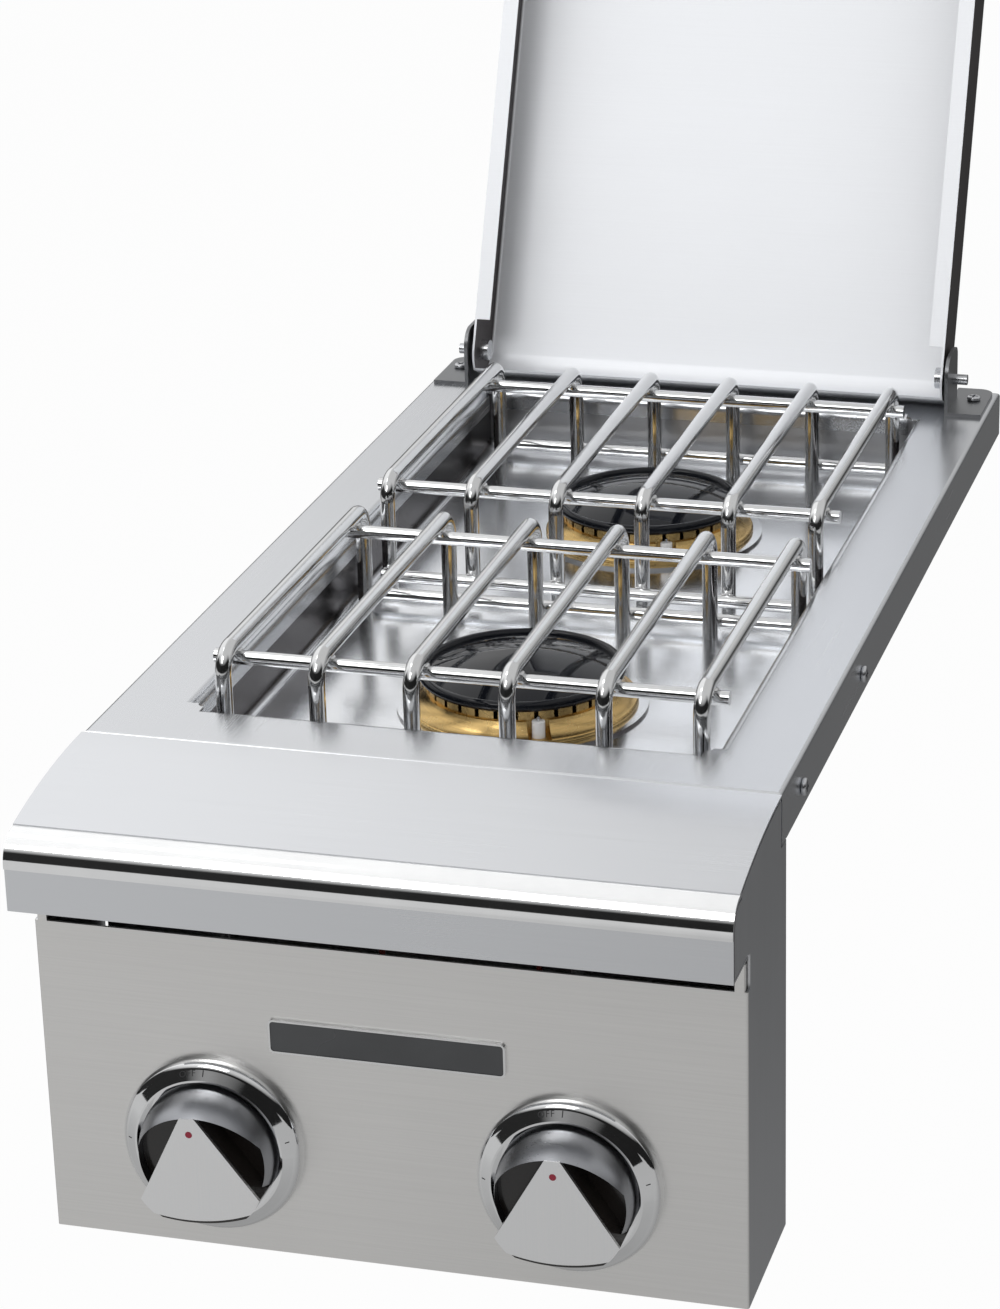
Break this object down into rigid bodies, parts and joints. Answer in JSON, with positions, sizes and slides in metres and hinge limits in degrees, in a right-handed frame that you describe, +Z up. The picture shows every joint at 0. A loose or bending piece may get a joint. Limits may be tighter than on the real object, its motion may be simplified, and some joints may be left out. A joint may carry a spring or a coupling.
{
  "type": "double side burner",
  "caption": "Slide-in gas side burner with two brass burners under rod grates, a hinged lid and push-and-turn knobs.",
  "frame": {"origin": "on the centre line where the deck meets the hood, in the plane of the counter's top", "axes": "+Z up, +Y from the controls to the lid's hinge, +X to the right of someone who faces the controls"},
  "size_m": [0.3352, 0.8971, 0.7463],
  "materials": {
    "brushed_stainless": "brushed",
    "folded_steel": "matte",
    "dark_steel": "satin",
    "polished_chrome": "polished",
    "pewter": "satin",
    "black_gloss": "gloss",
    "satin_aluminium": "satin",
    "red_dot": "gloss",
    "machined_brass": "machined",
    "burner_brass": "turned",
    "zinc_steel": "satin",
    "tube_aluminium": "satin",
    "cast_aluminium": "cast",
    "black_enamel": "gloss enamel",
    "white_ceramic": "glazed",
    "lead_insulation": "satin",
    "black_housing": "matte"
  },
  "bodies": {
    "chassis": {"top_deck": "brushed_stainless", "well_pan": "brushed_stainless", "front_hood": "brushed_stainless", "left_side_panel": "brushed_stainless", "right_side_panel": "brushed_stainless", "control_panel": "brushed_stainless", "burner_box": "folded_steel", "box_bottom": "folded_steel", "rear_panel": "folded_steel", "left_hinge_bracket": "dark_steel", "right_hinge_bracket": "dark_steel", "bullnose_trim": "polished_chrome", "left_bezel": "polished_chrome", "right_bezel": "polished_chrome", "left_valve": "machined_brass", "right_valve": "machined_brass", "front_gas_tube": "tube_aluminium", "front_jet": "machined_brass", "front_burner_cup": "cast_aluminium", "front_igniter": "white_ceramic", "front_igniter_tip": "zinc_steel", "front_igniter_lead": "lead_insulation", "rear_gas_tube": "tube_aluminium", "rear_jet": "machined_brass", "rear_burner_cup": "cast_aluminium", "rear_igniter": "white_ceramic", "rear_igniter_tip": "zinc_steel", "rear_igniter_lead": "lead_insulation", "gas_manifold": "tube_aluminium", "gas_inlet_fitting": "machined_brass", "spark_module": "black_housing", "hinge_screws": "zinc_steel", "side_screws": "zinc_steel", "valve_screws": "zinc_steel", "burner_cup_screws": "zinc_steel", "box_screws": "zinc_steel"},
    "lid": {"lid": "brushed_stainless", "left_lid_pin": "zinc_steel", "right_lid_pin": "zinc_steel"},
    "left_stem": {"left_stem_washer": "zinc_steel"},
    "right_stem": {"right_stem_washer": "zinc_steel"},
    "left_knob": {"left_knob_shell": "pewter", "left_knob_core": "black_gloss", "left_knob_face": "satin_aluminium", "left_knob_dot": "red_dot", "left_valve_stem": "machined_brass"},
    "right_knob": {"right_knob_shell": "pewter", "right_knob_core": "black_gloss", "right_knob_face": "satin_aluminium", "right_knob_dot": "red_dot", "right_valve_stem": "machined_brass"},
    "front_grate": {"front_grate": "polished_chrome", "front_grate_cross_rods": "polished_chrome"},
    "rear_grate": {"rear_grate": "polished_chrome", "rear_grate_cross_rods": "polished_chrome"},
    "front_head": {"front_burner_head": "burner_brass"},
    "rear_head": {"rear_burner_head": "burner_brass"},
    "front_cap": {"front_burner_cap": "black_enamel"},
    "rear_cap": {"rear_burner_cap": "black_enamel"}
  },
  "joints": [
    {"name": "lid_hinge", "type": "hinge", "parent": "chassis", "child": "lid", "pos_m": [0, 0.56, 0.0413], "axis": [-1, 0, 0], "range_deg": [-114, 0]},
    {"name": "left_knob_push", "type": "slide", "parent": "chassis", "child": "left_stem", "axis": [0, 1, 0], "range_m": [0, 0.003], "stiffness_N_per_m": 2500, "springref_m": -0.002},
    {"name": "left_knob_turn", "type": "hinge", "parent": "left_stem", "child": "left_knob", "pos_m": [-0.084, -0.08, -0.142], "axis": [0, -1, 0], "range_deg": [-6, 204]},
    {"name": "right_knob_push", "type": "slide", "parent": "chassis", "child": "right_stem", "axis": [0, 1, 0], "range_m": [0, 0.003], "stiffness_N_per_m": 2500, "springref_m": -0.002},
    {"name": "right_knob_turn", "type": "hinge", "parent": "right_stem", "child": "right_knob", "pos_m": [0.084, -0.08, -0.142], "axis": [0, -1, 0], "range_deg": [-2, 208]},
    {"name": "front_grate_lift", "type": "slide", "parent": "chassis", "child": "front_grate", "axis": [0, 0, 1], "range_m": [0, 0.08]},
    {"name": "front_head_lift", "type": "slide", "parent": "chassis", "child": "front_head", "axis": [0, 0, 1], "range_m": [0, 0.01]},
    {"name": "front_cap_lift", "type": "slide", "parent": "front_head", "child": "front_cap", "axis": [0, 0, 1], "range_m": [0, 0.006]},
    {"name": "rear_grate_lift", "type": "slide", "parent": "chassis", "child": "rear_grate", "axis": [0, 0, 1], "range_m": [0, 0.08]},
    {"name": "rear_head_lift", "type": "slide", "parent": "chassis", "child": "rear_head", "axis": [0, 0, 1], "range_m": [0, 0.01]},
    {"name": "rear_cap_lift", "type": "slide", "parent": "rear_head", "child": "rear_cap", "axis": [0, 0, 1], "range_m": [0, 0.006]}
  ]
}
